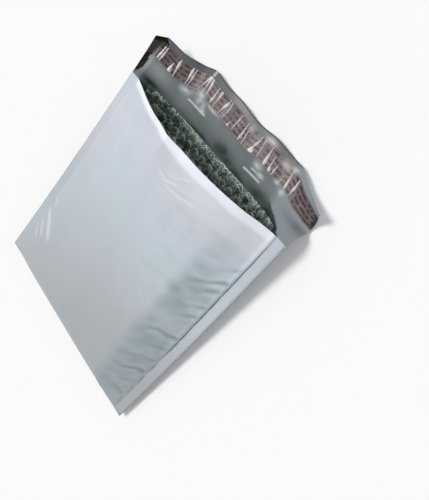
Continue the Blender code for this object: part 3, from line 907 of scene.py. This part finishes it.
def front_painted_groove_shade(place, along, y):
    """How black the front is: painted shade in the groove at the right seal's root, and dark lines at the
    sheet's outer edges.
    """
    outline = 0.35 if along < 0.006 else 0
    if abs(place) > 1:
        return max(outline, 0.3 if abs(place) > 1.95 else 0)
    root = math.exp(-((place - 1) / GROOVE_HALF) ** 2)
    depth = ease((y + 34) / 16) * ease((88 - y) / 4)
    depth += 0.6 * ease((-y - 30) / 12) * ease(soft(0, y, 9, 1.1) + 0.4)
    depth *= 0.8 + 0.4 * soft(0, y, 5, 7.1)
    return min(max(root * depth, outline), 1)


def add_bubble(domes, paint, chance, surface, place, along):
    """One air bubble on the lining, of its own size and clearness."""
    base = FILM / 2 + LINER_GAP + BUBBLE_FOOT
    place += BUBBLE_SHIFT * chance.uniform(-1, 1) / across(1, along)
    along += BUBBLE_SHIFT * chance.uniform(-1, 1) / DEPTH
    radius = BUBBLE / 2 * chance.uniform(*BUBBLE_SIZES)
    rise = BUBBLE_RISE * chance.uniform(*BUBBLE_HEIGHTS)
    clear = chance.random() ** 1.3
    bright = chance.uniform(0.35, 1)
    # The side of the rim that the painted highlight brightens
    highlight_side = math.radians(120) + chance.uniform(-1, 1)
    foot = inside(surface, place, along, base)
    axis = (inside(surface, place, along, base + BUBBLE_RISE) - foot).normalized()
    over_x = Vector((1, 0, 0)) - axis * axis.x
    over_x.normalize()
    over_y = axis.cross(over_x)
    rings = []
    for wide, high, pale in BUBBLE_PROFILE:
        ring = []
        for side in range(BUBBLE_SIDES):
            turn = 2 * math.pi * side / BUBBLE_SIDES
            out = over_x * math.cos(turn) + over_y * math.sin(turn)
            ring.append(domes.verts.new(foot + out * radius * wide + axis * rise * high))
            paint.append((pale * bright * (0.7 + 0.3 * math.cos(turn - highlight_side)), clear))
        rings.append(ring)
    top = domes.verts.new(foot + axis * rise)
    paint.append((0, clear))
    for low, high in zip(rings, rings[1:]):
        for side in range(BUBBLE_SIDES):
            after = (side + 1) % BUBBLE_SIDES
            wall = domes.faces.new((low[side], low[after], high[after], high[side]))
            wall.material_index = BUBBLE_SLOT
    for side in range(BUBBLE_SIDES):
        lid = domes.faces.new((rings[-1][side], rings[-1][(side + 1) % BUBBLE_SIDES], top))
        lid.material_index = BUBBLE_SLOT


def bubble_liner():
    """The bubble film: back layer, bend at the bottom and front layer, with bubbles all over."""
    first, last = LINER_AT_FOLD / DEPTH, 1 - LINER_AT_MOUTH / DEPTH
    past = 1 + LINER_PAST_MOUTH / DEPTH
    domes = bmesh.new()
    domes.from_mesh(liner_sheet(first, last, past))
    paint = [(0, 0)] * len(domes.verts)
    chance = random.Random(11)
    row_step = BUBBLE_PITCH * math.sqrt(3) / 2
    for surface, end in ((back, past), (front_for_liner, last)):
        count = int((end - first) * DEPTH / row_step)
        for row in range(count):
            along = end - (BUBBLE_PITCH / 2 + row * row_step) / DEPTH
            add_bubble_row(domes, paint, chance, surface, row, along)
    mesh = bpy.data.meshes.new("bubble_liner_mesh")
    domes.to_mesh(mesh)
    domes.free()
    for index, name in enumerate(("ring", "clear")):
        add_field(mesh, name, [value[index] for value in paint])
    for material in (bubble_film(), bubble_top()):
        mesh.materials.append(material)
    mesh.shade_smooth()
    mesh.set_sharp_from_angle(angle=math.radians(50))
    made = bpy.data.objects.new("bubble_lining", mesh)
    bpy.context.scene.collection.objects.link(made)
    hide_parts("bubble_liner")
    return made


def liner_sheet(first, last, past):
    """The flat part of the bubble film, from past the mouth round the bottom to the front's lip."""
    height = FILM / 2 + LINER_GAP
    rows = [("back", along) for along in spread(past, first, -0.02)] + [("bend", first)]
    rows += [("front", along) for along in spread(first, last, 0.02)]

    def place_of(place, row):
        side, along = row
        low = inside(back, place, along, height)
        high = inside(front_for_liner, place, along, height + LINER_GAP)
        if side == "bend":
            return (low + high) / 2 - Vector((0, (high.z - low.z) / 4, 0))
        return low if side == "back" else high

    return grid_mesh("lining", spread(-LINER_SIDE, LINER_SIDE, 0.03), rows, place_of)


def add_bubble_row(domes, paint, chance, surface, row, along):
    """One row of bubbles from side to side, each second row set off by half a pitch."""
    half = across(LINER_SIDE, along) - BUBBLE_PITCH / 2
    count = int(2 * half / BUBBLE_PITCH) - row % 2
    for column in range(count + 1):
        place = (column - count / 2) * BUBBLE_PITCH / across(1, along)
        room = front_for_liner(place, along).z - back(place, along).z
        if room > 2 * BUBBLE_RISE + BUBBLE_ROOM or surface is back:
            add_bubble(domes, paint, chance, surface, place, along)


def band(name, node_name, width, height, reach, material):
    """A band that lies on the flap's inner face, from -reach to reach across it."""
    middle = 1 - (RELEASE_FROM_EDGE + RELEASE_WIDTH / 2) / FLAP
    columns = spread(-1, 1, BAND_ACROSS_STEP)
    if reach > 1:
        columns = spread(-reach, -1, 0.2)[:-1] + columns + spread(1, reach, 0.2)[1:]
    rows = spread(middle - width / 2 / FLAP, middle + width / 2 / FLAP, BAND_ROW_STEP)
    lift = WRINKLE_RISE if reach > 1 else 0

    def place_of(place, out):
        return raised(flap, place, out, height + lift * wrinkles(across(place, 1) / MM, out))

    mesh = grid_mesh(name, columns, rows, place_of)
    places = [(place, out) for out in rows for place in columns]
    painted = [band_fields(place, out) for place, out in places]
    add_field(mesh, "band_x", [across(place, 1) / MM for place, out in places])
    add_field(mesh, "band_y", [(out - rows[0]) / (rows[-1] - rows[0]) for place, out in places])
    add_field(mesh, "pale", [pale for pale, dark in painted])
    add_field(mesh, "dark", [dark for pale, dark in painted])
    made = with_thickness(name, mesh, [material], BAND_SKIN, 0)
    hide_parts(node_name)
    return made


def band_fields(place, out):
    """Painted highlights on a band's wrinkles and patches, and painted shade where its ends are turned
    away from the light.
    """
    x, y = across(place, 1) / MM, (DEPTH / 2 + FLAP * out) / MM
    tent = wrinkles(x, out)
    pale = ease((tent - 0.04) / 0.2) * (1 - 0.15 * ease((tent - 0.6) / 0.3))
    turned = (-place - 1) * SEAL - SEAL * (1 - out)
    corner = max(ease((between(TURNED_BORDER, out)[0] - place) / 0.05), turned > -0.1 * MM)
    dark = max(0.95 * corner, 0.8 * ease((place - 1.55) / 0.3))
    return max(pale, 0.4 * patch(x, y, HIGHLIGHT_PATCHES)), dark


def floor():
    """A plain white floor just under the bag."""
    bpy.ops.mesh.primitive_plane_add(size=3, location=(0, 0, -0.2 * MM))
    made = bpy.context.object
    made.name = "floor"
    material, tree, shader = new_material("floor_white", 0.9, Specular_IOR_Level=0.0)
    shader.inputs["Base Color"].default_value = (0.97, 0.97, 0.97, 1)
    made.data.materials.append(material)


def sun(name, toward, spread_angle, strength):
    """A soft lamp that lights every place alike."""
    data = bpy.data.lights.new(name, "SUN")
    data.angle = math.radians(spread_angle)
    data.energy = strength
    made = bpy.data.objects.new(name, data)
    made.rotation_euler = Vector(toward).to_track_quat("-Z", "Y").to_euler()
    bpy.context.scene.collection.objects.link(made)


def world():
    """A plain light all round, and white where the camera or a gloss looks past the object."""
    made = bpy.data.worlds.new("studio")
    bpy.context.scene.world = made
    made.use_nodes = True
    tree = made.node_tree
    output = tree.nodes["World Output"]
    fill = node(tree, "ShaderNodeBackground", Color=(1, 1, 1, 1), Strength=FILL_STRENGTH)
    seen = node(tree, "ShaderNodeBackground", Color=(1, 1, 1, 1), Strength=1)
    path = tree.nodes.new("ShaderNodeLightPath")
    either = math_on(tree, "MAXIMUM", path.outputs["Is Camera Ray"], path.outputs["Is Glossy Ray"])
    either = math_on(tree, "MAXIMUM", either, path.outputs["Is Transmission Ray"])
    choice = tree.nodes.new("ShaderNodeMixShader")
    tree.links.new(either, choice.inputs["Fac"])
    tree.links.new(fill.outputs["Background"], choice.inputs[1])
    tree.links.new(seen.outputs["Background"], choice.inputs[2])
    tree.links.new(choice.outputs["Shader"], output.inputs["Surface"])


def camera():
    """The camera, at the angle that fits the bag's four corners."""
    data = bpy.data.cameras.new("camera")
    data.sensor_width = SENSOR
    data.lens = LENS
    data.clip_start = 0.01
    made = bpy.data.objects.new("camera", data)
    made.location = CAMERA_AT
    made.rotation_euler = [math.radians(angle) for angle in CAMERA_TURN]
    bpy.context.scene.collection.objects.link(made)
    bpy.context.scene.camera = made


bpy.context.scene.view_settings.view_transform = "Standard"
floor()
world()
sun("key", SUN_TOWARD, SUN_SPREAD, SUN_STRENGTH)
camera()
pieces = [
    outer_film(),
    bubble_liner(),
    band("glue_band", "adhesive_strip", GLUE_WIDTH, GLUE_OVER_FLAP, 1, glue()),
    band("release_band", "release_liner", RELEASE_WIDTH, RELEASE_OVER_FLAP,
         RELEASE_REACH, release_film()),
]
for piece in pieces:
    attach(piece, "root")
